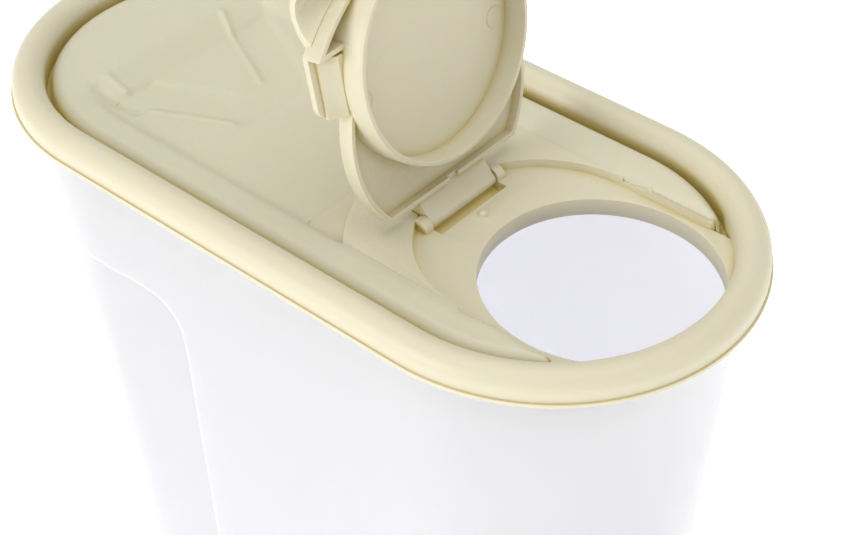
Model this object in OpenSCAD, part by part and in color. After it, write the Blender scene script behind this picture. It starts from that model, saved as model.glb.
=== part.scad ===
// Cereal container with a lift-off lid and a flip spout.
// Three moulded pieces: a tapered tub, a lid that caps its rolled rim, and a flap on two snap pins.
// Origin: middle of the base. +X points to the spout, +Z up.

/* [Lid] */
// Length of the lid over its lip
lid_l = 255; // [230:1:300]
// Width of the lid over its lip
lid_w = 125; // [122:0.5:135]
// Wall of the lid moulding
lid_t = 1.8; // [1.5:0.1:2.0]
// How far the lip stands out from the rim bead
lip_out = 0.6; // [0.3:0.1:1.2]
// Height of the lip's edge
lip_h = 1.0; // [0.6:0.1:1.6]
// Radius of the round rim bead
bead_r = 5.0; // [4.8:0.1:5.4]
// Height of the bead's top above the spout seat
bead_top = 8.3; // [7.8:0.1:9.5]
// Width of the deep groove inside the bead
groove_w = 1.4; // [1.0:0.1:2.0]
// Depth of the groove below the spout seat
groove_deep = 2.0; // [1:0.1:3]
// Height of the horseshoe ridge's crest above the spout seat
crest_h = 4.6; // [4.2:0.1:5.4]
// Height of the ridge's inner shoulder
shoulder_h = 3.4; // [3.0:0.1:3.8]
// Height of the raised deck round the hinge
deck_h = 2.5; // [2:0.1:2.8]
// Height of the back panel above the spout seat
panel_h = 1.0; // [0.6:0.1:1.6]
// How far the lid's plug reaches below the spout seat
plug_deep = 5.6; // [4.5:0.1:6.2]
// Depth of the thumb rest in the back panel
rest_deep = 0.8; // [0.4:0.1:1.0]
// Radius of the thumb rest's front arc
rest_r = 34.5; // [30:0.5:38]
// Slope of the thumb rest's edges, in degrees
rest_slope = 30; // [20:1:45]

/* [Spout] */
// Half width of the sunken seat round the opening
seat_r = 36.3; // [36:0.1:37]
// Radius of the pour opening
hole_r = 34; // [32:0.5:34.5]
// Distance from the front arc's centre to the opening's centre
hole_dx = 19.7; // [17:0.1:20]
// Distance from the front arc's centre to the horns' tips
horn_dx = 31.5; // [29:0.5:33]

/* [Flap] */
// Distance from the hinge axis to the opening's centre
hinge_d = 50.6; // [49:0.1:52]
// Height of the hinge axis above the spout seat
hinge_z = 0.3; // [0:0.1:0.6]
// Angle of the flap when it rests open
open_angle = 101.6; // [96:0.2:104]
// Radius of the hinge pins
pin_r = 1.25; // [1.0:0.05:1.5]
// Running clearance of the pins in their bores
pin_gap = 0.08; // [0.04:0.01:0.1]
// Radius of the flap's barrel
barrel_r = 2.3; // [2.0:0.1:2.5]
// Half length of the flap's barrel
barrel_half = 14; // [12:0.5:16]
// Width of each hinge ear on the lid
ear_w = 3.0; // [2.4:0.1:4]
// Wall of the flap moulding
flap_t = 1.8; // [1.4:0.1:2]
// Wall of the plug ring
ring_t = 1.6; // [1.2:0.1:2]
// Depth of the plug ring's lip below the spout seat
ring_deep = 5.9; // [5:0.1:6.5]
// Height of the cup's floor above the spout seat
cup_floor = 1.5; // [1:0.1:2.2]
// Wall of the flap's skirts
skirt_t = 1.3; // [1:0.1:1.6]
// Half width of the flap's flange over the horns
flange_half = 40.3; // [39:0.1:41]
// Half width of the hood that hugs the bead
hood_half = 38; // [30:0.5:38.5]
// Clearance between the flap and what it closes on
flap_gap = 0.4; // [0.35:0.05:0.6]

/* [Container] */
// Height of the spout seat above the base
seat_z = 262; // [230:1:300]
// Wall of the container
tub_t = 1.7; // [1.4:0.1:2.0]
// Thickness of the container's floor
floor_t = 2.4; // [2:0.1:3]
// Lean of the back wall, in degrees
back_lean = 7.0; // [4:0.1:8]
// Lean of the front wall, in degrees
front_lean = 3.1; // [2.8:0.1:5]
// Draft of the side walls, in degrees
side_draft = 2.8; // [2:0.1:3.4]
// Radius of the rounded base edge
base_round = 5; // [4:0.5:7]
// Depth of the hollow under the base
foot_deep = 1.2; // [0.6:0.1:1.6]
// Width of the foot ring
foot_w = 6; // [4:0.5:9]
// Depth of the hand grips
grip_deep = 4; // [3:0.2:5]
// Width of the hand grips, from their crease to the round back
grip_l = 42; // [36:1:48]
// Height of the hand grips
grip_h = 170; // [140:5:180]
// Distance from the spout seat down to the grips' top
grip_drop = 42; // [38:1:50]
// Clearance between the lid and the container
fit_gap = 0.3; // [0.2:0.05:0.4]

/* [Hidden] */
$fn = 96;
eps = 0.01;
far = 200;
cream = [0.91, 0.89, 0.80];
milky = [0.84, 0.85, 0.89];

// Outline of the lid: two arcs of radius rim_r about +arc_x and -arc_x; levels are above the spout seat
rim_r = lid_w / 2;
arc_x = (lid_l - lid_w) / 2;
lip_z = -0.4;
bead_mid_r = rim_r - lip_out - bead_r;
bead_z = bead_top - bead_r;
bead_in_r = bead_mid_r - bead_r;
channel_r = bead_r - lid_t;
plug_r = bead_in_r + lid_t;
ridge_r = bead_in_r - groove_w;
crest_w = 2;
crest_round = 0.9;
shoulder_r = seat_r + 2.7;
seat_lean = 0.3;
deck_r = rim_r - 7;

// Thumb rest: a fan sunk in front of the raised back of the lid
rest_x = -4 - arc_x;
rest_back = -10 - arc_x;
rest_spread = 27;
rest_side_x = rest_x + 28;
rest_side_y = 15.5;
wedge_x = rest_x + 21;
wedge_y = 3.6;
wedge_h = 0.6;
back_edge = rest_back - 10;

// Spout and hinge places
hole_x = arc_x + hole_dx;
hinge_x = hole_x - hinge_d;
barrel_gap = 0.4;
ear_in = barrel_half + barrel_gap;
ear_r = 3;
ear_foot = 1.2;
bore_r = pin_r + pin_gap;
heel_r = 4.7;
slot_back = hinge_x - heel_r - 0.6;
slot_front = hinge_x + 6;
horn_x = arc_x + horn_dx;
horn_round = 2.6;
bump_r = 1.5;
bump_sink = 0.3;

// Flap levels, closed
flange_z = crest_h + flap_gap;
plate_z = flange_z - flap_t;
skirt_z = flap_gap;
lip_level = skirt_z + 0.2;
plug_lead = 1.5;
plug_taper = 0.5;
flange_corner = 4;
neck_x = hinge_x + 7.5;
plate_r = seat_r - flap_gap - seat_lean;
ring_r = hole_r - fit_gap;
flange_r = bead_in_r - flap_gap;
wide_x = hole_x - 6;
bump_x = neck_x + bump_r;

// Container's rim and collar
wall_in_r = plug_r + fit_gap;
wall_out_r = wall_in_r + tub_t;
roll_out_r = bead_mid_r + channel_r - fit_gap;
roll_r = (roll_out_r - wall_in_r) / 2;
roll_mid_r = (roll_out_r + wall_in_r) / 2;
roll_leg = 0.8;
collar_z = seat_z - plug_deep - 0.4;
collar_top = seat_z + 1.5;
bite = 0.15;
base_chord = base_round * 0.25;
grip_back = 7;
grip_corner = 14;
side_run = tan(side_draft);
front_run = tan(front_lean) - side_run;
back_run = tan(back_lean) - side_run;

// Sweep of a profile, drawn as [radius, height], round the whole outline
module round_outline() {
    for (s = [0, 1])
        rotate([0, 0, 180 * s])
            translate([arc_x, 0, 0])
                rotate([0, 0, -90])
                    rotate_extrude(angle = 180)
                        children();
    for (s = [0, 1])
        rotate([0, 0, 180 * s])
            translate([-arc_x, 0, 0])
                rotate([90, 0, 90])
                    linear_extrude(2 * arc_x)
                        children();
}

// Container

// One level of the tub: front and back discs at height z
module tub_level(z, inset, h = eps) {
    drop = max(collar_z - z, 0);
    r = wall_out_r - inset - side_run * drop;
    translate([arc_x - front_run * drop, 0, z]) cylinder(h = h, r = r, $fn = 72);
    translate([-arc_x + back_run * drop, 0, z]) cylinder(h = h, r = r, $fn = 72);
}

module tub_outside() {
    hull() {
        tub_level(0, base_round - base_chord);
        tub_level(base_chord, base_round / 4);
        tub_level(base_round, 0);
        tub_level(collar_z, 0, collar_top - collar_z);
    }
}

module tub_inside() {
    hull() {
        tub_level(floor_t, tub_t + base_round - base_chord);
        tub_level(floor_t + base_chord, tub_t + base_round / 4);
        tub_level(floor_t + base_round, tub_t);
        tub_level(collar_z, tub_t, collar_top + 1 - collar_z);
    }
}

// Cutters of the two hand grips: round-cornered slabs, tilted so that they run out at the round back
module grip_cut(grow) {
    top_z = seat_z - grip_drop;
    top_y = grip_deep + grow + side_run * (collar_z - top_z) - wall_out_r;
    for (s = [0, 1])
        mirror([0, s, 0])
            translate([grip_l - grip_back - arc_x, top_y, top_z])
                rotate([side_draft, 0, atan(grip_deep / grip_l)])
                    hull()
                        for (z = [-grip_corner, grip_corner - grip_h], x = [-grip_corner, -1.6 * grip_l])
                            translate([x, 0, z])
                                rotate([90, 0, 0])
                                    cylinder(
                                        h = 3 * grip_deep,
                                        r1 = grip_corner - grip_deep / 2 + grow,
                                        r2 = grip_corner + grip_deep + grow,
                                        $fn = 48
                                    );
}

// Rolled rim: the wall turns over outwards and ends in a short outer leg
module rim_profile() {
    difference() {
        union() {
            translate([roll_mid_r, bead_z]) circle(roll_r);
            translate([wall_in_r + bite, -tub_t]) square([tub_t - 2 * bite, bead_z + tub_t]);
            translate([roll_out_r - tub_t, roll_leg]) square([tub_t, bead_z - roll_leg]);
        }
        translate([roll_mid_r, bead_z]) circle(roll_r - tub_t);
        translate([wall_out_r - bite, -far])
            square([roll_out_r - tub_t - wall_out_r + bite, far + bead_z]);
    }
}

module container() {
    foot_inset = base_round - base_chord + foot_w;
    color(milky) {
        difference() {
            tub_outside();
            grip_cut(0);
            difference() {
                tub_inside();
                grip_cut(tub_t);
            }
            translate([0, 0, -eps])
                hull()
                    tub_level(0, foot_inset, foot_deep);
        }
        translate([0, 0, seat_z])
            round_outline() rim_profile();
    }
}

// Lid

// Lip, hollow bead that caps the rim, and plug wall
module bead_profile() {
    difference() {
        union() {
            translate([bead_mid_r, bead_z]) circle(bead_r);
            translate([bead_mid_r + channel_r, lip_z]) square([lid_t, bead_z - lip_z]);
            translate([rim_r - lip_out - lid_t, lip_z]) square([lip_out + lid_t, lip_h]);
            translate([bead_in_r, -plug_deep]) square([lid_t, plug_deep + bead_z]);
        }
        translate([bead_mid_r, bead_z]) circle(channel_r);
        translate([plug_r, -far]) square([2 * channel_r, far + bead_z]);
    }
}

// Top surface of the lid inside the groove, sunk and drawn in by the wall t, down to the level low
module field_profile(t, low) {
    polygon([
        [0, low],
        [ridge_r - t, low],
        [ridge_r - t, crest_h - t - crest_round],
        [ridge_r - t - crest_round / 3, crest_h - t - crest_round / 3],
        [ridge_r - t - crest_round, crest_h - t],
        [ridge_r - crest_w - t / 2, crest_h - t],
        [shoulder_r + t / 2, shoulder_h - t],
        [seat_r + t, panel_h - t],
        [0, panel_h - t]
    ]);
}

// Half section of the sunken seat round the opening, grown by the wall t
module seat_profile(t) {
    polygon([
        [0, -t],
        [seat_r + t, -t],
        [seat_r + seat_lean + t, deck_h - t / 2],
        [shoulder_r + seat_lean + t, crest_h - crest_round / 2],
        [shoulder_r + seat_lean + t, 2 * bead_top],
        [0, 2 * bead_top]
    ]);
}

// Sunken seat: round toward the hinge, straight toward the front
module seat_cut(t) {
    translate([arc_x, 0, 0]) {
        rotate([0, 0, 90])
            rotate_extrude(angle = 180)
                seat_profile(t);
        for (s = [0, 1])
            mirror([0, s, 0])
                rotate([90, 0, 90])
                    linear_extrude(rim_r)
                        seat_profile(t);
    }
}

// Blunt round tip of each horn, with the groove running round it
module horn_cut(t) {
    for (s = [0, 1])
        mirror([0, s, 0])
            difference() {
                translate([horn_x - horn_round, seat_r - horn_round + t, -groove_deep - t])
                    cube([far, far, far]);
                translate([horn_x - horn_round, seat_r + horn_round - seat_lean, -far])
                    cylinder(h = 2 * far, r = horn_round - t);
            }
}

// The lid inside the groove as a block down to the level low; t draws it in by the wall
module field(t, low) {
    difference() {
        union() {
            round_outline() field_profile(t, low);
            intersection() {
                translate([arc_x, 0, low])
                    cylinder(h = deck_h - t - low, r = deck_r - t);
                translate([arc_x - far, -shoulder_r, -far])
                    cube([far, 2 * shoulder_r, 2 * far]);
            }
            intersection() {
                translate([-arc_x, 0, low])
                    cylinder(h = far, r = ridge_r - crest_w - t);
                rotate([90, 0, 0])
                    linear_extrude(2 * far, center = true)
                        polygon([
                            [-far, low],
                            [-far, crest_h - t],
                            [back_edge, crest_h - t],
                            [rest_back, panel_h - t],
                            [rest_back, low]
                        ]);
            }
        }
        seat_cut(t);
        horn_cut(t);
    }
}

// Space between two upright faces that spread backwards from half_y at x; tilt leans their tops out
module spread_space(x, half_y, z, spread, tilt) {
    intersection_for(s = [0, 1])
        mirror([0, s, 0])
            translate([x, half_y, z])
                rotate([0, 0, -spread])
                    rotate([-tilt, 0, 0])
                        translate([-far, -far, -far])
                            cube([2 * far, far, 2 * far]);
}

// Fan of the thumb rest, sunk to the level z, with sloped edges; grow widens it all round
module rest_fan(z, grow) {
    h = crest_h + rest_deep;
    run = h / tan(rest_slope);
    intersection() {
        translate([rest_x, 0, z]) cylinder(h = h, r1 = rest_r + grow, r2 = rest_r + grow + run);
        spread_space(rest_side_x, rest_side_y + grow, z, rest_spread, 90 - rest_slope);
        translate([rest_back - grow, -far, -far]) cube([far, 2 * far, 2 * far]);
    }
}

// Cutter of the thumb rest: the sunk fan, less a low wedge left standing in its middle
module thumb_rest() {
    low = panel_h - rest_deep;
    difference() {
        rest_fan(low, 0);
        intersection() {
            spread_space(wedge_x, wedge_y, low, rest_spread, rest_slope - 90);
            translate([-far, -far, -far]) cube([2 * far, 2 * far, far + low + wedge_h]);
            translate([wedge_x - wedge_y / 2 - far, -far, -far]) cube([far, 2 * far, 2 * far]);
        }
    }
}

// Pour opening, cut off by the bead where the two circles cross
module opening(grow, h) {
    intersection() {
        translate([hole_x, 0, 0]) cylinder(h = h, r = hole_r + grow);
        translate([arc_x, 0, 0]) cylinder(h = h, r = bead_in_r + min(grow, lid_t / 2));
    }
}

// Ears that hold the flap's pins
module ears() {
    for (s = [0, 1])
        mirror([0, s, 0])
            translate([hinge_x, ear_in, hinge_z]) {
                rotate([-90, 0, 0]) cylinder(h = ear_w, r = ear_r);
                translate([-ear_r, 0, -hinge_z - lid_t - ear_foot])
                    cube([2 * ear_r, ear_w, hinge_z + lid_t + ear_foot]);
            }
}

module lid() {
    under = groove_deep + lid_t;
    color(cream)
        translate([0, 0, seat_z])
            difference() {
                union() {
                    round_outline() bead_profile();
                    round_outline()
                        translate([ridge_r - lid_t, -under])
                            square([lid_t + groove_w + lid_t / 2, lid_t]);
                    difference() {
                        field(0, -under);
                        field(lid_t, -far);
                    }
                    intersection() {
                        rest_fan(panel_h - rest_deep - lid_t, lid_t);
                        translate([-far, -seat_r, -far]) cube([2 * far, 2 * seat_r, far + panel_h - eps]);
                    }
                    intersection() {
                        translate([arc_x, 0, -lid_t])
                            cylinder(h = lid_t, r = bead_in_r + lid_t / 2);
                        translate([arc_x, -seat_r, -far])
                            cube([far, 2 * seat_r, 2 * far]);
                    }
                    translate([0, 0, -plug_deep]) opening(lid_t, plug_deep - lid_t / 3);
                    ears();
                    translate([bump_x, 0, -bump_sink]) sphere(bump_r);
                }
                translate([0, 0, -far]) opening(0, 2 * far);
                thumb_rest();
                translate([slot_back, -ear_in, -far])
                    cube([slot_front - slot_back, 2 * ear_in, 2 * far]);
                translate([hinge_x, 0, hinge_z])
                    rotate([90, 0, 0])
                        cylinder(h = 2 * (ear_in + ear_w + eps), r = bore_r, center = true);
            }
}

// Spout flap, drawn closed and then swung open about its pins

// Plug ring's outer form: a cylinder with a tapered lip, cut off by the bead; t draws it in
module plug(t, low, high) {
    intersection_for(c = [[hole_x, ring_r - t], [arc_x, flange_r - t]])
        translate([c[0], 0, low]) {
            translate([0, 0, plug_lead]) cylinder(h = high - low - plug_lead, r = c[1]);
            cylinder(h = plug_lead, r1 = c[1] - plug_taper, r2 = c[1]);
        }
}

// Plate over the hinge end of the seat, between the levels low and high
module hinge_plate(r, low, high) {
    intersection() {
        translate([arc_x, 0, low]) cylinder(h = high - low, r = r);
        translate([neck_x + plate_r - r, -far, -far])
            cube([wide_x + flap_t - neck_x - plate_r + r, 2 * far, 2 * far]);
    }
}

// Flange over the ridge's horns, with round back corners
module flange() {
    side_y = flange_half - flange_corner;
    intersection() {
        translate([arc_x, 0, flange_z]) cylinder(h = flap_t, r = flange_r);
        union() {
            translate([wide_x + flange_corner, -flange_half, -far])
                cube([far, 2 * flange_half, 2 * far]);
            translate([wide_x, -side_y, -far]) cube([far, 2 * side_y, 2 * far]);
            for (s = [-1, 1])
                translate([wide_x + flange_corner, s * side_y, -far])
                    cylinder(h = 2 * far, r = flange_corner);
        }
    }
}

// Web that fills the corner between the plug ring and the flange, sloped like the seat's edge
module webs() {
    in_y = ring_r - ring_t;
    out_y = shoulder_r - 2 * flap_gap;
    intersection() {
        translate([arc_x, 0, -far]) cylinder(h = 2 * far, r = flange_r);
        for (s = [0, 1])
            mirror([0, s, 0])
                translate([wide_x, 0, 0])
                    rotate([90, 0, 90])
                        linear_extrude(horn_x - flap_gap - wide_x)
                            polygon([
                                [in_y, lip_level],
                                [ring_r + fit_gap, lip_level],
                                [plate_r, deck_h],
                                [out_y, shoulder_h + 2 * flap_gap],
                                [out_y, flange_z + eps],
                                [in_y, flange_z + eps]
                            ]);
    }
}

// Space ahead of the horns and inside the bead, drawn in by the wall t
module front_space(t) {
    intersection() {
        translate([arc_x, 0, -far]) cylinder(h = 2 * far, r = flange_r - t);
        translate([horn_x + flap_gap + t, -far, -far]) cube([far, 2 * far, 2 * far]);
    }
}

// Skirt that lines the bead ahead of the horns, a tapering slot away from the plug ring
module front_skirt() {
    intersection() {
        difference() {
            front_space(0);
            front_space(skirt_t);
            translate([hole_x, 0, -far]) cylinder(h = 2 * far, r = ring_r - ring_t / 2);
        }
        translate([hole_x, 0, lip_level]) cylinder(h = flange_z + eps - lip_level, r = far);
    }
}

// Barrel and neck, as one section drawn in the plane of the swing
module neck() {
    rotate([90, 0, 0])
        linear_extrude(2 * barrel_half, center = true) {
            translate([hinge_x, hinge_z]) circle(barrel_r);
            polygon([
                [hinge_x - barrel_r * 0.8, hinge_z + barrel_r * 0.6],
                [hinge_x + heel_r / 4, hinge_z + heel_r * 0.95],
                [neck_x + skirt_t, flange_z],
                [neck_x + skirt_t, plate_z],
                [hinge_x + barrel_r * 0.8, hinge_z - barrel_r * 0.6]
            ]);
        }
}

// Hood that hugs the front of the bead
module hood() {
    in_r = bead_r + flap_gap;
    intersection() {
        translate([arc_x, 0, 0])
            rotate([0, 0, -90])
                rotate_extrude(angle = 180)
                    difference() {
                        translate([bead_mid_r, bead_z]) circle(in_r + flap_t);
                        translate([bead_mid_r, bead_z]) circle(in_r);
                        translate([0, -far]) square([bead_mid_r, far + flange_z]);
                        translate([bead_mid_r - eps, -far]) square([far, far + bead_z]);
                    }
        translate([arc_x, -hood_half, -far]) cube([far, 2 * hood_half, 2 * far]);
    }
}

module spout_flap() {
    color(cream)
        translate([hinge_x, 0, seat_z + hinge_z])
            rotate([0, -open_angle, 0])
                translate([-hinge_x, 0, -hinge_z]) {
                    difference() {
                        union() {
                            hinge_plate(plate_r, skirt_z, flange_z);
                            flange();
                            plug(0, -ring_deep, flange_z);
                        }
                        difference() {
                            hinge_plate(plate_r - skirt_t, -far, plate_z);
                            plug(0, -ring_deep, flange_z);
                        }
                        translate([neck_x - skirt_t, -bump_r - flap_gap, -far])
                            cube([3 * skirt_t, 2 * (bump_r + flap_gap), far + bump_r]);
                        plug(ring_t, -far, cup_floor);
                        plug(ring_t, cup_floor + flap_t, far);
                    }
                    webs();
                    front_skirt();
                    neck();
                    hood();
                    rotate([90, 0, 0])
                        translate([hinge_x, hinge_z, 0])
                            cylinder(h = 2 * (ear_in + ear_w), r = pin_r, center = true);
                }
}

container();
lid();
spout_flap();
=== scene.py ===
"""Cereal container with a lift-off lid and a flip spout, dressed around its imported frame."""

import math

import bmesh
import bpy
from mathutils import Matrix, Vector
from mathutils.bvhtree import BVHTree


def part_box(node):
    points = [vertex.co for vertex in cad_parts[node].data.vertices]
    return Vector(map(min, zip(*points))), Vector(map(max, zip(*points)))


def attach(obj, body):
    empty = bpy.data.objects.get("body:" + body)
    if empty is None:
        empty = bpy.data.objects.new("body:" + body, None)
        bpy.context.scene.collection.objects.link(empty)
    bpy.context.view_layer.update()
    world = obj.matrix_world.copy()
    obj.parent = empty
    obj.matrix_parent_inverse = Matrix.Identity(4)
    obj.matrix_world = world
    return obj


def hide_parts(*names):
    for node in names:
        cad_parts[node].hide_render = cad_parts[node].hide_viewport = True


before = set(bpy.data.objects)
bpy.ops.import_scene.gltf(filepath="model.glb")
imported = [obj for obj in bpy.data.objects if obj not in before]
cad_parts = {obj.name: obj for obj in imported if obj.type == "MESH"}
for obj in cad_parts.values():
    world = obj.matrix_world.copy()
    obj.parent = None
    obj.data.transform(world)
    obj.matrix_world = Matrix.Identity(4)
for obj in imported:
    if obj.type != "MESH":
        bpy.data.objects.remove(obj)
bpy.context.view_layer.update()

bl_info = {
    "name": "Cereal Keeper",
    "version": (1, 0, 0),
    "blender": (4, 5, 0),
    "location": "3D View > Sidebar > Keeper",
    "description": "Builds a cereal container with a lift-off lid and a flip spout",
    "category": "Add Mesh",
}

MM = 0.001
TUB_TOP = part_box("container")[1].z

# Ribs of the thumb rest, and last its hollow: start, end, half width and rise, in millimetres
RELIEF = (
    ((-83.3, 21.5), (-50.3, 5.1), 1.0, 0.8),
    ((-64.2, -27.8), (-40.8, -15.8), 1.0, 0.8),
    ((-87.7, -27.1), (-76.2, -26.4), 1.0, 0.6),
    ((-82.0, -32.3), (-66.0, -30.6), 2.2, -0.9),
)

# Section of the hinge pocket: place along the lid and height above the seat, in millimetres
POCKET_PATH = (
    (28.7, -1.2),
    (28.9, -2.2),
    (29.8, -3.0),
    (31.5, -3.4),
    (34.4, -3.5),
    (37.3, -3.4),
    (39.0, -3.0),
    (39.9, -2.2),
    (40.2, -1.2),
)
# Half its width across the lid, and its wall
POCKET_HALF = 14.6
POCKET_WALL = 0.8

# Working copies of the mouldings: gap closed at a seam in metres, and angles in degrees of faces
# that count as flat, of edges that are rounded and of edges that stay sharp
SEAM_GAP = 2e-6
FLAT_ANGLE = 0.5
ROUNDED_ANGLE = 30
SHARP_ANGLE = 50

# The horns' arc in degrees, and the skin's stations along it, along each straight side and along
# half the round back
HORN_TURN = 45
HORN_COUNT = 60
SIDE_COUNT = 145
BACK_COUNT = 80
# The skin, in millimetres: its gap to the ridge's outer edge, the hole left in its middle, its
# lowest level, the level under which it has no faces, and its thickness
SKIN_EDGE = 0.05
SKIN_MIDDLE = 0.4
SKIN_LOWEST = -2.5
SKIN_FLOOR = -1.9
SKIN_THICK = 0.3
# How it dips ahead of its front end and drops along the horns' inner edge
FRONT_DIP = 0.08
HORN_DROP = 0.15
# Margin about the front end, and the ramp by which the lid's own top comes up again there
FRONT_MARGIN = 2
FRONT_RAMP = 2.5
# How far the lid's own top is sunk under the skin, in millimetres: on the ridge's crest and its
# inner flank, each with its depth on the horns' tips, on the panel, and on the step beside it
CREST_SINK, CREST_TIP_SINK = 3.3, 4.2
FLANK_SINK, FLANK_TIP_SINK = 2.2, 3.0
PANEL_SINK = 0.9
STEP_SINK = 0.5
# Level above the seat and radius from which each of them holds
CREST_LEVEL = 3.5
FLANK_LEVEL, FLANK_RADIUS = 1.2, 42
STEP_LEVEL, STEP_RADIUS = 3.35, 38.5

# Section of an ejector mark: radius and rise above the cup's floor, in millimetres
MARK_PROFILE = ((3.2, -0.3), (3.1, 0.12), (2.9, 0.28), (2.6, 0.28), (2.4, 0.1), (0.2, 0.1))
MARK_TURNS = 36

# Steps of the container's round ends, its base edge and its rolled rim
ARC_STEPS = 40
ROUND_STEPS = 6
ROLL_STEPS = 10
# Steps along a side: ahead of the grip's front edge, at the edge and behind it
SIDE_STEPS = (12, 18, 7)
# Steps up the wall: under the grip, at its foot, along it, at its top and above it
LEVEL_STEPS = (6, 14, 14, 14, 5)
# How far the close steps reach past a grip's edge and inside it, in millimetres
GRIP_OUT, GRIP_IN = 7, 8
# Small breaks of the edges: of the foot's hollow, of the foot and of the rim's outer leg
HOLLOW_BREAK = 0.4
FOOT_BREAK = 0.3
LEG_BREAK = 0.2

# Studio lamps: name, width in metres, power in watts and place
LAMPS = (
    ("key", 1.0, 14.0, (-0.5, -1.7, 0.75)),
    ("side", 1.2, 4.0, (1.6, 0.2, 0.9)),
    ("over", 2.2, 20.0, (0, 0, 2.3)),
)
STUDIO_LIGHT = 0.62
FLOOR_HALF = 3.0
# View of the camera: azimuth and elevation in degrees, point looked at in metres, and lens
VIEW_AZIMUTH = 40.72
VIEW_ELEVATION = 40.56
VIEW_TARGET = (0.02244, 0.0, 0.2307)
VIEW_LENS = 75.74
VIEW_SENSOR = 36.0


class TubSizes(bpy.types.PropertyGroup):
    """Sizes of the container, in millimetres"""

    arc_x: bpy.props.FloatProperty(
        name="Arc centre", description="Centre of the round ends", default=65.0
    )
    wall: bpy.props.FloatProperty(name="Wall", description="Wall of the container", default=1.7)
    wall_r: bpy.props.FloatProperty(
        name="Collar radius", description="Outer radius of the collar", default=55.7
    )
    collar_z: bpy.props.FloatProperty(
        name="Collar height", description="Where the taper starts", default=256.0
    )
    front_lean: bpy.props.FloatProperty(
        name="Front lean", description="Degrees of lean in front", default=3.1
    )
    back_lean: bpy.props.FloatProperty(
        name="Back lean", description="Degrees of lean at the back", default=7.0
    )
    side_draft: bpy.props.FloatProperty(
        name="Side draft", description="Degrees of draft", default=2.8
    )
    base_round: bpy.props.FloatProperty(
        name="Base round", description="Radius of the base edge", default=5.0
    )
    floor_t: bpy.props.FloatProperty(
        name="Floor", description="Thickness of the floor", default=2.4
    )
    foot_deep: bpy.props.FloatProperty(
        name="Foot depth", description="Hollow under the base", default=1.2
    )
    foot_inset: bpy.props.FloatProperty(
        name="Foot inset", description="Inset of that hollow", default=9.75
    )
    roll_z: bpy.props.FloatProperty(
        name="Roll height", description="Centre of the rolled rim", default=265.3
    )
    roll_out: bpy.props.FloatProperty(
        name="Roll radius", description="Outermost radius of the rim", default=59.8
    )
    roll_leg: bpy.props.FloatProperty(
        name="Roll leg", description="Lowest level of the outer leg", default=262.8
    )
    grip_x: bpy.props.FloatProperty(
        name="Grip edge", description="Front edge of the grips", default=-30.0
    )
    grip_top: bpy.props.FloatProperty(
        name="Grip top", description="Top edge of the grips", default=220.0
    )
    grip_low: bpy.props.FloatProperty(
        name="Grip foot", description="Lower edge of the grips", default=50.0
    )
    grip_deep: bpy.props.FloatProperty(
        name="Grip depth", description="Depth at the front edge", default=4.0
    )
    grip_long: bpy.props.FloatProperty(
        name="Grip length", description="Length to the round back", default=42.0
    )
    grip_round: bpy.props.FloatProperty(
        name="Grip corner", description="Radius of the corners", default=14.0
    )
    grip_soft: bpy.props.FloatProperty(
        name="Grip softness", description="Softness of the crease", default=2.2
    )


class DeckSizes(bpy.types.PropertyGroup):
    """Sizes of the soft skin over the lid's panel, in millimetres"""

    seat_z: bpy.props.FloatProperty(
        name="Seat height", description="Height of the spout seat", default=262.0
    )
    arc_x: bpy.props.FloatProperty(
        name="Arc centre", description="Centre of the round ends", default=65.0
    )
    ridge_r: bpy.props.FloatProperty(
        name="Ridge radius", description="Outer edge of the ridge", default=50.5
    )
    crest_r: bpy.props.FloatProperty(
        name="Crest radius", description="Where the ridge is highest", default=44.5
    )
    crest_h: bpy.props.FloatProperty(
        name="Crest height", description="Height above the seat", default=4.6
    )
    roll_h: bpy.props.FloatProperty(
        name="Roll height", description="Drop of the ridge's outer flank", default=5.0
    )
    horn_y: bpy.props.FloatProperty(
        name="Horn edge", description="Inner edge of the horns", default=36.65
    )
    hinge_x: bpy.props.FloatProperty(
        name="Hinge place", description="Hinge axis along the lid", default=34.1
    )
    hinge_z: bpy.props.FloatProperty(
        name="Hinge height", description="Hinge axis above the seat", default=0.3
    )
    open_angle: bpy.props.FloatProperty(
        name="Open angle", description="Degrees the flap is open", default=101.6
    )
    cup_floor: bpy.props.FloatProperty(
        name="Cup floor", description="Level of the cup, closed", default=1.5
    )
    mark_x: bpy.props.FloatProperty(
        name="Mark place", description="Ejector marks along the flap", default=79.3
    )
    mark_y: bpy.props.FloatProperty(
        name="Mark side", description="Ejector marks off the middle", default=26.7
    )
    horn_x: bpy.props.FloatProperty(
        name="Horn tip", description="Where the horns' round tips start", default=93.8
    )
    skin_front: bpy.props.FloatProperty(
        name="Skin front", description="Front end of the skin", default=8.0
    )
    skin_step: bpy.props.FloatProperty(
        name="Skin step", description="Spacing of its points", default=0.75
    )
    skin_blur: bpy.props.IntProperty(
        name="Skin softness", description="Passes of smoothing", default=4
    )


class KeeperSizes(bpy.types.PropertyGroup):
    """Sizes that set the look of the mouldings"""

    edge_round: bpy.props.FloatProperty(
        name="Edge round",
        description="Radius of the moulded edges on the lid and flap",
        default=0.0004,
        min=0.0001,
        max=0.001,
        unit="LENGTH",
    )
    camera_distance: bpy.props.FloatProperty(
        name="Camera distance",
        description="Distance from the camera to the point it looks at",
        default=0.5376,
        unit="LENGTH",
    )


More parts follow.
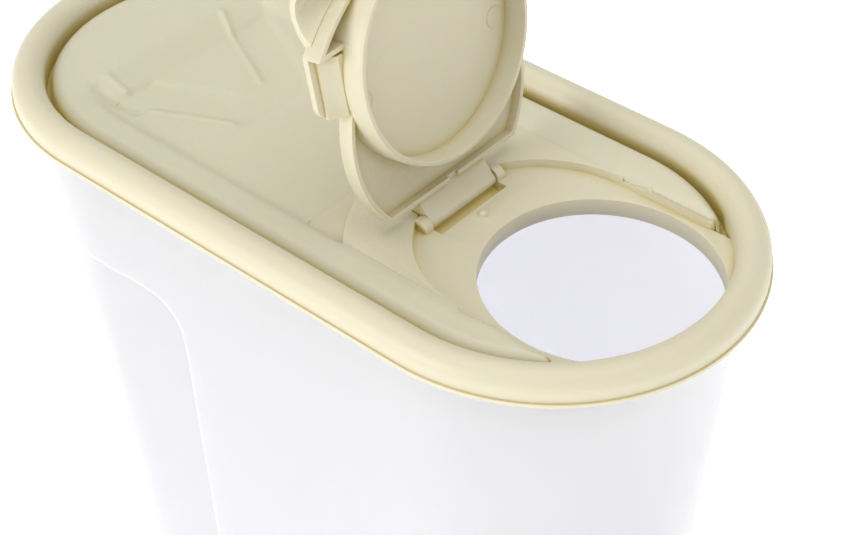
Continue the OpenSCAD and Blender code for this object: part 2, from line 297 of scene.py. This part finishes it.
class KeeperColours(bpy.types.PropertyGroup):
    """Colours of the two plastics, of the painted gold-brown shade and glow on the cream one, and
    of the floor
    """

    cream: bpy.props.FloatVectorProperty(
        name="Cream plastic",
        description="Colour of the lid and the flap",
        default=(0.63, 0.585, 0.43),
        size=3,
        min=0.0,
        max=1.0,
        subtype="COLOR",
    )
    # Painted shade: this gold-brown is mixed into the cream plastic in its grooves and hollows,
    # and also tints the hinge pocket's painted glow
    painted_shade_and_glow: bpy.props.FloatVectorProperty(
        name="Golden shade",
        description="Colour of the cream plastic deep in its grooves",
        default=(0.56, 0.45, 0.14),
        size=3,
        min=0.0,
        max=1.0,
        subtype="COLOR",
    )
    milky: bpy.props.FloatVectorProperty(
        name="Milky plastic",
        description="Colour of the container",
        default=(0.90, 0.89, 0.97),
        size=3,
        min=0.0,
        max=1.0,
        subtype="COLOR",
    )
    floor: bpy.props.FloatVectorProperty(
        name="Floor",
        description="Colour of the floor",
        default=(0.95, 0.95, 0.95),
        size=3,
        min=0.0,
        max=1.0,
        subtype="COLOR",
    )


def new_material(name):
    """A plain material, with its nodes, links and shader at hand."""
    material = bpy.data.materials.new(name)
    material.use_nodes = True
    nodes = material.node_tree.nodes
    shader = nodes["Principled BSDF"]
    return material, nodes, material.node_tree.links, shader


def mixed_colour(nodes, links, factor, low, high):
    """A colour that goes from low to high with the factor."""
    mix = nodes.new("ShaderNodeMix")
    mix.data_type = "RGBA"
    mix.inputs["A"].default_value = (*low, 1.0)
    mix.inputs["B"].default_value = (*high, 1.0)
    links.new(factor, mix.inputs["Factor"])
    return mix.outputs["Result"]


def cream_plastic(colours):
    """Cream moulding: painted gold-brown shade mixed in where ambient occlusion finds its hollows,
    with a fine spark-eroded texture.
    """
    material, nodes, links, shader = new_material("cream_moulding")
    shader.inputs["Roughness"].default_value = 0.42
    shader.inputs["Subsurface Weight"].default_value = 0.25
    shader.inputs["Subsurface Radius"].default_value = (1.0, 0.7, 0.3)
    shader.inputs["Subsurface Scale"].default_value = 0.0015
    # Painted shade: ambient occlusion blends the cream towards the gold-brown shade colour in
    # grooves and hollows
    hollow = nodes.new("ShaderNodeAmbientOcclusion")
    hollow.inputs["Distance"].default_value = 0.004
    hollow.samples = 8
    open_part = nodes.new("ShaderNodeMapRange")
    open_part.inputs["From Min"].default_value = 0.25
    open_part.inputs["From Max"].default_value = 0.92
    links.new(hollow.outputs["AO"], open_part.inputs["Value"])
    share = open_part.outputs["Result"]
    colour = mixed_colour(nodes, links, share, colours.painted_shade_and_glow, colours.cream)
    links.new(colour, shader.inputs["Base Color"])
    place = nodes.new("ShaderNodeTexCoord")
    grain = nodes.new("ShaderNodeTexNoise")
    grain.inputs["Scale"].default_value = 900.0
    grain.inputs["Detail"].default_value = 2.0
    bump = nodes.new("ShaderNodeBump")
    bump.inputs["Strength"].default_value = 0.25
    bump.inputs["Distance"].default_value = 0.0003
    links.new(place.outputs["Object"], grain.inputs["Vector"])
    links.new(grain.outputs["Fac"], bump.inputs["Height"])
    links.new(bump.outputs["Normal"], shader.inputs["Normal"])
    return material


def painted_glow_plastic(colours):
    """Cream moulding with painted shade and a painted gold-brown glow, standing in for light from
    below that shines through thin plastic.
    """
    material = cream_plastic(colours)
    material.name = "painted_glow_moulding"
    shader = material.node_tree.nodes["Principled BSDF"]
    # Painted glow: a faint gold-brown emission, though this piece is no lamp
    shader.inputs["Emission Color"].default_value = (*colours.painted_shade_and_glow, 1.0)
    shader.inputs["Emission Strength"].default_value = 0.2
    return material


def milky_plastic(colours):
    """Milky moulding that lets light into its skin, with a faint painted glow and faint clouds in
    its gloss.
    """
    material, nodes, links, shader = new_material("milky_plastic")
    shader.inputs["Base Color"].default_value = (*colours.milky, 1.0)
    shader.inputs["Roughness"].default_value = 0.4
    shader.inputs["Transmission Weight"].default_value = 0.12
    shader.inputs["Subsurface Weight"].default_value = 1.0
    shader.inputs["Subsurface Radius"].default_value = (1.0, 1.0, 1.1)
    shader.inputs["Subsurface Scale"].default_value = 0.02
    # Painted glow: a faint lilac-white emission brightens the container, standing in for light
    # through its translucent plastic
    shader.inputs["Emission Color"].default_value = (0.88, 0.88, 1.0, 1.0)
    shader.inputs["Emission Strength"].default_value = 0.07
    place = nodes.new("ShaderNodeTexCoord")
    cloud = nodes.new("ShaderNodeTexNoise")
    cloud.inputs["Scale"].default_value = 25.0
    bump = nodes.new("ShaderNodeBump")
    bump.inputs["Strength"].default_value = 0.1
    bump.inputs["Distance"].default_value = 0.001
    links.new(place.outputs["Object"], cloud.inputs["Vector"])
    links.new(cloud.outputs["Fac"], bump.inputs["Height"])
    links.new(bump.outputs["Normal"], shader.inputs["Normal"])
    return material


def floor_paint(colours):
    """Matt pale paint of the studio's floor."""
    material, nodes, links, shader = new_material("floor_paint")
    shader.inputs["Base Color"].default_value = (*colours.floor, 1.0)
    shader.inputs["Roughness"].default_value = 0.8
    shader.inputs["Emission Color"].default_value = (*colours.floor, 1.0)
    shader.inputs["Emission Strength"].default_value = 0.6
    return material


def moulded_form(name):
    """Working copy of a node's solid, with its seams joined and its flat faces whole."""
    shape = bmesh.new()
    shape.from_mesh(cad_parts[name].data)
    bmesh.ops.remove_doubles(shape, verts=shape.verts, dist=SEAM_GAP)
    bmesh.ops.dissolve_limit(
        shape,
        angle_limit=math.radians(FLAT_ANGLE),
        verts=shape.verts,
        edges=shape.edges,
        use_dissolve_boundaries=False,
    )
    return shape


def added_piece(name, mesh, material, body):
    """Puts a mesh in the scene as a piece that rides on a body."""
    mesh.materials.append(material)
    piece = bpy.data.objects.new(name, mesh)
    bpy.context.scene.collection.objects.link(piece)
    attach(piece, body)
    return piece


def moulded(shape, name, piece_name, material, edge_round):
    """Gives a form rounded moulded edges, and lets it stand for the node of that name."""
    for face in shape.faces:
        face.smooth = True
    mesh = bpy.data.meshes.new(piece_name)
    shape.to_mesh(mesh)
    shape.free()
    piece = added_piece(piece_name, mesh, material, name)
    bevel = piece.modifiers.new("moulded_edges", "BEVEL")
    bevel.width = edge_round
    bevel.segments = 2
    bevel.limit_method = "ANGLE"
    bevel.angle_limit = math.radians(ROUNDED_ANGLE)
    bevel.use_clamp_overlap = True
    bevel.harden_normals = True
    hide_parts(name)


def outline_radius(deck, x, y):
    """Distance from the lid's middle line, which has a round end at each side."""
    return math.hypot(max(abs(x) - deck.arc_x, 0.0), y)


def line_gap(x, y, start, end):
    """Distance in plan from a point to the line between two places."""
    run_x, run_y = end[0] - start[0], end[1] - start[1]
    along = ((x - start[0]) * run_x + (y - start[1]) * run_y) / (run_x * run_x + run_y * run_y)
    along = min(max(along, 0.0), 1.0)
    return math.hypot(x - start[0] - along * run_x, y - start[1] - along * run_y)


def spaced(start, end, count):
    """Values from start to end, with the end left out."""
    return [start + (end - start) * i / count for i in range(count)]


def stepped(marks, counts):
    """Values from mark to mark, each span in its own count, with the last mark left out."""
    spans = zip(marks, marks[1:], counts)
    return [value for start, end, count in spans for value in spaced(start, end, count)]


def relief(x, y):
    """Height of the thumb rest's ribs and hollow at a place on the panel."""
    height = 0.0
    for start, end, half, rise in RELIEF:
        gap = line_gap(x, y, start, end) / half
        if gap < 3:
            height += rise * math.exp(-gap * gap)
    return height


def blurred(rows, passes):
    """Rows of heights, evened out with their neighbours."""
    for _ in range(2 * passes):
        rows = [
            [
                (row[max(i - 1, 0)] + 2 * row[i] + row[min(i + 1, len(row) - 1)]) / 4
                for i in range(len(row))
            ]
            for row in rows
        ]
        rows = [list(column) for column in zip(*rows)]
    return rows


def deck_stations(deck):
    """Stations of the skin, from the near horn's tip round the back to the far horn's.

    Each is a centre along the lid and the way outwards from it."""
    horn = [math.radians(a) for a in spaced(HORN_TURN, 0, HORN_COUNT)]
    near = [(deck.arc_x, math.sin(a), -math.cos(a)) for a in horn]
    near += [(x, 0.0, -1.0) for x in spaced(deck.arc_x, -deck.arc_x, SIDE_COUNT)]
    back = spaced(0, math.pi / 2, BACK_COUNT) + [math.pi / 2]
    near += [(-deck.arc_x, -math.sin(a), -math.cos(a)) for a in back]
    return near + [(x, out, -side) for x, out, side in reversed(near[:-1])]


def ridge_roll(deck, r):
    """Height of the ridge's round outer flank at radius r."""
    part = (r - deck.crest_r) / (deck.ridge_r - deck.crest_r)
    if part < 0:
        return deck.crest_h
    return deck.crest_h - deck.roll_h * (1 - math.sqrt(max(1 - part * part, 0.0)))


def horn_radius(deck, centre, side, r):
    """Radius drawn out to the horns' straight inner edge, ahead of the skin's front end."""
    if centre < deck.skin_front + FRONT_MARGIN:
        return r
    return min(max(r, deck.horn_y / abs(side)), deck.ridge_r - SKIN_EDGE)


def deck_heights(shape, deck, stations, radii):
    """Places of the skin's points: the lid's heights, softened, with the thumb rest's relief."""
    tree = BVHTree.FromBMesh(shape)
    down = Vector((0, 0, -1))
    well_above = (deck.seat_z + 40) * MM
    rows = []
    for centre, out, side in stations:
        row = []
        for r in radii:
            r = horn_radius(deck, centre, side, r)
            x, y = centre + r * out, r * side
            hit = tree.ray_cast(Vector((x * MM, y * MM, well_above)), down)[0]
            row.append(max(hit.z / MM - deck.seat_z, SKIN_LOWEST) if hit else SKIN_LOWEST)
        rows.append(row)
    places = []
    soft_rows = blurred(rows, deck.skin_blur)
    for (centre, out, side), row, crisp_row in zip(stations, soft_rows, rows):
        for r, height, crisp in zip(radii, row, crisp_row):
            r = horn_radius(deck, centre, side, r)
            x, y = centre + r * out, r * side
            z = min(height + relief(x, y), ridge_roll(deck, r))
            if abs(y) < deck.horn_y - 0.1:
                z -= FRONT_DIP * max(x - deck.skin_front, 0.0) ** 2
            if abs(abs(y) - deck.horn_y) < 0.01:
                z = min(z, crisp - HORN_DROP)
            places.append((x, y, z))
    return places


def deck_faces(places, width, count, deck):
    """Faces of the skin between its stations, and the strip that closes it along the middle."""
    faces = []
    for i in range(count - 1):
        for j in range(width - 1):
            start = i * width + j
            ring = (start, start + width, start + width + 1, start + 1)
            a, b, c, d = (places[k] for k in ring)
            whole = math.dist(a[:2], d[:2]) > 0.01 or math.dist(b[:2], c[:2]) > 0.01
            high = min(a[2], b[2], c[2], d[2]) > SKIN_FLOOR
            if whole and high and math.dist(c[:2], d[:2]) < 2:
                faces.append(ring)
    last = width - 1
    mirror = count - 1
    back_start = HORN_COUNT + SIDE_COUNT
    for i in range(HORN_COUNT, back_start):
        if places[i * width][0] < deck.skin_front + FRONT_MARGIN:
            faces.append([k * width + last for k in (i, i + 1, mirror - i - 1, mirror - i)])
    faces.append([k * width + last for k in range(back_start, mirror - back_start + 1)])
    return faces


def deck_skin(shape, deck):
    """A soft skin over the lid's panel and ridge, as one sheet."""
    stations = deck_stations(deck)
    count = int((deck.ridge_r - SKIN_MIDDLE) / deck.skin_step)
    radii = [deck.ridge_r - SKIN_EDGE - deck.skin_step * i for i in range(count + 1)]
    places = deck_heights(shape, deck, stations, radii)
    faces = deck_faces(places, len(radii), len(stations), deck)
    mesh = bpy.data.meshes.new("deck_skin")
    mesh.from_pydata([(x * MM, y * MM, (z + deck.seat_z) * MM) for x, y, z in places], [], faces)
    sheet = bmesh.new()
    sheet.from_mesh(mesh)
    for vert in [vert for vert in sheet.verts if not vert.link_faces]:
        sheet.verts.remove(vert)
    bmesh.ops.recalc_face_normals(sheet, faces=sheet.faces)
    if sum(face.normal.z for face in sheet.faces) < 0:
        bmesh.ops.reverse_faces(sheet, faces=sheet.faces)
    for face in sheet.faces:
        face.smooth = True
    sheet.to_mesh(mesh)
    sheet.free()
    return mesh


def sink_deck(shape, deck):
    """Lowers the lid's own top where the soft skin covers it."""
    for x in (deck.skin_front, deck.skin_front - FRONT_RAMP):
        bmesh.ops.bisect_plane(
            shape,
            geom=list(shape.verts) + list(shape.edges) + list(shape.faces),
            plane_co=(x * MM, 0, 0),
            plane_no=(1, 0, 0),
            dist=1e-6,
        )
    for vert in shape.verts:
        x, y, z = vert.co / MM
        z -= deck.seat_z
        r = outline_radius(deck, x, y)
        if r > deck.ridge_r + 0.1 or z < 0.1:
            continue
        on_tip = x > deck.horn_x
        if z > CREST_LEVEL:
            vert.co.z -= (CREST_TIP_SINK if on_tip else CREST_SINK) * MM
        elif r > FLANK_RADIUS and z > FLANK_LEVEL and abs(y) > deck.horn_y + 0.5:
            vert.co.z -= (FLANK_TIP_SINK if on_tip else FLANK_SINK) * MM
        elif x < deck.skin_front - FRONT_MARGIN:
            vert.co.z -= PANEL_SINK * MM
        elif z > STEP_LEVEL and r > STEP_RADIUS:
            vert.co.z -= STEP_SINK * MM


def soft_min(a, b, k):
    """The smaller of two values, with a blend k wide where they cross."""
    h = max(k - abs(a - b), 0.0) / k
    return min(a, b) - h * h * k / 4


def tub_centres(tub, z):
    """Centres of the back and front arcs, and the outer radius, at height z."""
    drop = max(tub.collar_z - z, 0.0)
    side = math.tan(math.radians(tub.side_draft))
    front = math.tan(math.radians(tub.front_lean)) - side
    back = math.tan(math.radians(tub.back_lean)) - side
    return back * drop - tub.arc_x, tub.arc_x - front * drop, tub.wall_r - side * drop


def side_places(tub, back_x, front_x):
    """Places along a flat side, close together at the grip's front edge."""
    marks = (front_x, tub.grip_x + GRIP_OUT, tub.grip_x - GRIP_IN, back_x)
    return stepped(marks, SIDE_STEPS)


def tub_ring(tub, z, inset):
    """Points of one closed ring round the container, each as x and y."""
    back_x, front_x, r = tub_centres(tub, z)
    r -= inset
    places = side_places(tub, back_x, front_x)
    arc = spaced(0, math.pi, ARC_STEPS)
    ring = [(front_x + r * math.sin(a), -r * math.cos(a)) for a in arc]
    ring += [(x, r) for x in places]
    ring += [(back_x - r * math.sin(a), r * math.cos(a)) for a in arc]
    ring += [(x, -r) for x in reversed(places[1:] + [back_x])]
    return ring


def gripped(tub, x, y, z, depth):
    """The side position y, pressed in by the hand grip.

    depth is how far the wall's face lies inside its outer one."""
    reach = tub.grip_x - x
    side = math.tan(math.radians(tub.side_draft))
    plane = tub.wall_r - side * max(tub.collar_z - z, 0.0) - tub.grip_deep
    plane += reach * tub.grip_deep / tub.grip_long - depth
    r = tub.grip_round
    across = r - reach
    up = max(z - tub.grip_top + r, tub.grip_low + r - z)
    edge = math.hypot(max(across, 0.0), max(up, 0.0)) + min(max(across, up), 0.0) - r
    rise = -soft_min(0.0, -2.0 * (edge + tub.grip_deep / 2), tub.grip_soft)
    return math.copysign(soft_min(abs(y), plane + rise, tub.grip_soft), y)


def tub_levels(tub):
    """Heights of the wall's rows, close together at the grip's ends."""
    foot = (tub.base_round, tub.grip_low - GRIP_OUT, tub.grip_low + GRIP_IN)
    top = (tub.grip_top - GRIP_IN, tub.grip_top + GRIP_OUT, tub.collar_z)
    return stepped(foot + top, LEVEL_STEPS) + [tub.collar_z]


def tub_rows(tub):
    """Rows from the foot hollow round the rim to the inner floor: height, inset and wall depth."""
    quarter = [math.pi / 2 * i / ROUND_STEPS for i in range(ROUND_STEPS + 1)]
    roll = tub.base_round
    rows = [
        (tub.foot_deep, tub.foot_inset + HOLLOW_BREAK, None),
        (tub.foot_deep - HOLLOW_BREAK, tub.foot_inset, None),
        (FOOT_BREAK, tub.foot_inset, None),
        (0.0, tub.foot_inset - FOOT_BREAK, None),
    ]
    rows += [(roll - roll * math.cos(a), roll - roll * math.sin(a), None) for a in quarter]
    rows += [(z, 0.0, 0.0) for z in tub_levels(tub)[1:]]
    out = tub.wall_r - tub.roll_out
    middle = (tub.roll_out + tub.wall_r - tub.wall) / 2
    big = tub.roll_out - middle
    small = big - tub.wall
    half = [math.pi * i / ROLL_STEPS for i in range(ROLL_STEPS + 1)]
    rows += [
        (tub.roll_z + small * math.sin(a), tub.wall_r - middle + small * math.cos(a), None)
        for a in half
    ]
    rows += [
        (tub.roll_leg + LEG_BREAK, out + tub.wall, None),
        (tub.roll_leg, out + tub.wall - LEG_BREAK, None),
        (tub.roll_leg, out + LEG_BREAK, None),
        (tub.roll_leg + LEG_BREAK, out, None),
    ]
    rows += [
        (tub.roll_z + big * math.sin(a), tub.wall_r - middle - big * math.cos(a), None)
        for a in half
    ]
    inner = tub.floor_t + roll
    rows += [(z, tub.wall, tub.wall) for z in reversed(tub_levels(tub)[1:]) if z > inner]
    rows += [
        (inner - roll * math.sin(a), tub.wall + roll - roll * math.cos(a), None) for a in quarter
    ]
    return rows


def tub_mesh(tub):
    """The container as one closed skin."""
    points, faces = [], []
    for z, inset, depth in tub_rows(tub):
        for x, y in tub_ring(tub, z, inset):
            if depth is not None:
                y = gripped(tub, x, y, z, depth)
            points.append((x * MM, y * MM, z * MM))
    count = len(tub_ring(tub, 0.0, 0.0))
    rows = len(points) // count
    for row in range(rows - 1):
        start = row * count
        for i in range(count):
            j = (i + 1) % count
            faces.append((start + i, start + j, start + count + j, start + count + i))
    faces.append(tuple(reversed(range(count))))
    faces.append(tuple(range((rows - 1) * count, rows * count)))
    mesh = bpy.data.meshes.new("tub")
    mesh.from_pydata(points, [], faces)
    mesh.validate()
    mesh.shade_smooth()
    mesh.set_sharp_from_angle(angle=math.radians(SHARP_ANGLE))
    return mesh


def mark_mesh(name, deck, side):
    """A low round mark on the cup's floor, at the open flap's place."""
    hinge = Vector((deck.hinge_x, 0, deck.hinge_z + deck.seat_z))
    swing = Matrix.Rotation(math.radians(-deck.open_angle), 3, "Y")
    points = []
    for r, rise in MARK_PROFILE:
        for angle in spaced(0, 2 * math.pi, MARK_TURNS):
            x = deck.mark_x + r * math.cos(angle)
            y = side * deck.mark_y + r * math.sin(angle)
            place = Vector((x, y, deck.cup_floor - rise + deck.seat_z))
            points.append((hinge + swing @ (place - hinge)) * MM)
    faces = []
    for ring in range(0, len(points) - MARK_TURNS, MARK_TURNS):
        for i in range(MARK_TURNS):
            j = (i + 1) % MARK_TURNS
            faces.append((ring + i, ring + j, ring + MARK_TURNS + j, ring + MARK_TURNS + i))
    faces.append(tuple(reversed(range(MARK_TURNS))))
    faces.append(tuple(range(len(points) - MARK_TURNS, len(points))))
    mesh = bpy.data.meshes.new(name)
    mesh.from_pydata(points, [], faces)
    return mesh


class KEEPER_OT_tub(bpy.types.Operator):
    """Make the container's smooth skin"""

    bl_idname = "keeper.tub"
    bl_label = "Container"

    def execute(self, context):
        scene = context.scene
        mesh = tub_mesh(scene.keeper_tub)
        tub = added_piece("tub", mesh, milky_plastic(scene.keeper_colours), "container")
        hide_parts("container")
        return {"FINISHED"}


class KEEPER_OT_lid(bpy.types.Operator):
    """Dress the lid"""

    bl_idname = "keeper.lid"
    bl_label = "Lid"

    def execute(self, context):
        scene = context.scene
        deck = scene.keeper_deck
        material = cream_plastic(scene.keeper_colours)
        shape = moulded_form("lid")
        skin = added_piece("deck_skin", deck_skin(shape, deck), material, "lid")
        wall = skin.modifiers.new("skin_wall", "SOLIDIFY")
        wall.thickness = SKIN_THICK * MM
        wall.offset = -1
        sink_deck(shape, deck)
        moulded(shape, "lid", "lid_moulding", material, scene.keeper_sizes.edge_round)
        return {"FINISHED"}


class KEEPER_OT_pocket(bpy.types.Operator):
    """Make the hinge pocket, the trough under the slot that the flap's heel turns in"""

    bl_idname = "keeper.pocket"
    bl_label = "Hinge pocket"

    def execute(self, context):
        scene = context.scene
        seat_z = scene.keeper_deck.seat_z
        points = [
            (x * MM, y * MM, (seat_z + z) * MM)
            for y in (-POCKET_HALF, POCKET_HALF)
            for x, z in POCKET_PATH
        ]
        count = len(POCKET_PATH)
        faces = [(i, i + 1, count + i + 1, count + i) for i in range(count - 1)]
        faces += [tuple(reversed(range(count))), tuple(range(count, 2 * count))]
        mesh = bpy.data.meshes.new("hinge_pocket")
        mesh.from_pydata(points, [], faces)
        mesh.shade_smooth()
        mesh.set_sharp_from_angle(angle=math.radians(SHARP_ANGLE))
        # The hinge pocket is drawn in the painted glow material
        pocket = added_piece("hinge_pocket", mesh, painted_glow_plastic(scene.keeper_colours), "lid")
        wall = pocket.modifiers.new("pocket_wall", "SOLIDIFY")
        wall.thickness = POCKET_WALL * MM
        return {"FINISHED"}


class KEEPER_OT_marks(bpy.types.Operator):
    """Make the two round ejector marks on the floor of the flap's cup"""

    bl_idname = "keeper.marks"
    bl_label = "Ejector marks"

    def execute(self, context):
        deck = context.scene.keeper_deck
        material = bpy.data.materials["cream_moulding"]
        for side, name in ((-1, "near"), (1, "far")):
            mesh = mark_mesh(f"ejector_mark_{name}", deck, side)
            mark = added_piece(f"ejector_mark_{name}", mesh, material, "spout_flap")
        return {"FINISHED"}


class KEEPER_OT_flap(bpy.types.Operator):
    """Dress the spout flap"""

    bl_idname = "keeper.flap"
    bl_label = "Spout flap"

    def execute(self, context):
        material = bpy.data.materials["cream_moulding"]
        edge_round = context.scene.keeper_sizes.edge_round
        shape = moulded_form("spout_flap")
        moulded(shape, "spout_flap", "flap_moulding", material, edge_round)
        return {"FINISHED"}


def add_lamp(name, width, power, place):
    """A soft round lamp that points at the lid."""
    data = bpy.data.lights.new(name, "AREA")
    data.shape = "DISK"
    data.size = width
    data.energy = power
    lamp = bpy.data.objects.new(name, data)
    bpy.context.scene.collection.objects.link(lamp)
    lamp.location = place
    way = Vector((0, 0, TUB_TOP)) - Vector(place)
    lamp.rotation_euler = way.to_track_quat("-Z", "Y").to_euler()


class KEEPER_OT_stage(bpy.types.Operator):
    """Make the floor, the lights and the camera"""

    bl_idname = "keeper.stage"
    bl_label = "Stage"

    def execute(self, context):
        scene = context.scene
        mesh = bpy.data.meshes.new("floor")
        half = FLOOR_HALF
        corners = [(-half, -half, 0), (half, -half, 0), (half, half, 0), (-half, half, 0)]
        mesh.from_pydata(corners, [], [(0, 1, 2, 3)])
        mesh.materials.append(floor_paint(scene.keeper_colours))
        floor = bpy.data.objects.new("floor", mesh)
        scene.collection.objects.link(floor)
        world = bpy.data.worlds.new("studio")
        world.use_nodes = True
        back = world.node_tree.nodes["Background"]
        back.inputs["Color"].default_value = (1.0, 1.0, 1.0, 1.0)
        back.inputs["Strength"].default_value = STUDIO_LIGHT
        scene.world = world
        scene.view_settings.view_transform = "Standard"
        for name, width, power, place in LAMPS:
            add_lamp(name, width, power, place)
        azimuth, elevation = math.radians(VIEW_AZIMUTH), math.radians(VIEW_ELEVATION)
        level = math.cos(elevation)
        back_way = Vector(
            (math.sin(azimuth) * level, -math.cos(azimuth) * level, math.sin(elevation))
        )
        data = bpy.data.cameras.new("photo_view")
        data.lens = VIEW_LENS
        data.sensor_width = VIEW_SENSOR
        camera = bpy.data.objects.new("photo_view", data)
        scene.collection.objects.link(camera)
        camera.location = Vector(VIEW_TARGET) + back_way * scene.keeper_sizes.camera_distance
        camera.rotation_euler = back_way.to_track_quat("Z", "Y").to_euler()
        scene.camera = camera
        return {"FINISHED"}


class KEEPER_PT_panel(bpy.types.Panel):
    """Lists the pieces of the keeper"""

    bl_label = "Cereal Keeper"
    bl_idname = "KEEPER_PT_panel"
    bl_space_type = "VIEW_3D"
    bl_region_type = "UI"
    bl_category = "Keeper"

    def draw(self, context):
        for operator in OPERATORS:
            self.layout.operator(operator.bl_idname)


OPERATORS = (
    KEEPER_OT_tub,
    KEEPER_OT_lid,
    KEEPER_OT_pocket,
    KEEPER_OT_flap,
    KEEPER_OT_marks,
    KEEPER_OT_stage,
)
CLASSES = (TubSizes, DeckSizes, KeeperSizes, KeeperColours, *OPERATORS, KEEPER_PT_panel)


def register():
    """Adds the sizes, the operators and the panel."""
    for item in CLASSES:
        bpy.utils.register_class(item)
    bpy.types.Scene.keeper_tub = bpy.props.PointerProperty(type=TubSizes)
    bpy.types.Scene.keeper_deck = bpy.props.PointerProperty(type=DeckSizes)
    bpy.types.Scene.keeper_sizes = bpy.props.PointerProperty(type=KeeperSizes)
    bpy.types.Scene.keeper_colours = bpy.props.PointerProperty(type=KeeperColours)


def unregister():
    """Takes them away again."""
    del bpy.types.Scene.keeper_colours
    del bpy.types.Scene.keeper_sizes
    del bpy.types.Scene.keeper_deck
    del bpy.types.Scene.keeper_tub
    for item in reversed(CLASSES):
        bpy.utils.unregister_class(item)


def main():
    """Builds every piece and the stage."""
    register()
    bpy.ops.keeper.tub()
    bpy.ops.keeper.lid()
    bpy.ops.keeper.pocket()
    bpy.ops.keeper.flap()
    bpy.ops.keeper.marks()
    bpy.ops.keeper.stage()


if __name__ == "__main__":
    main()
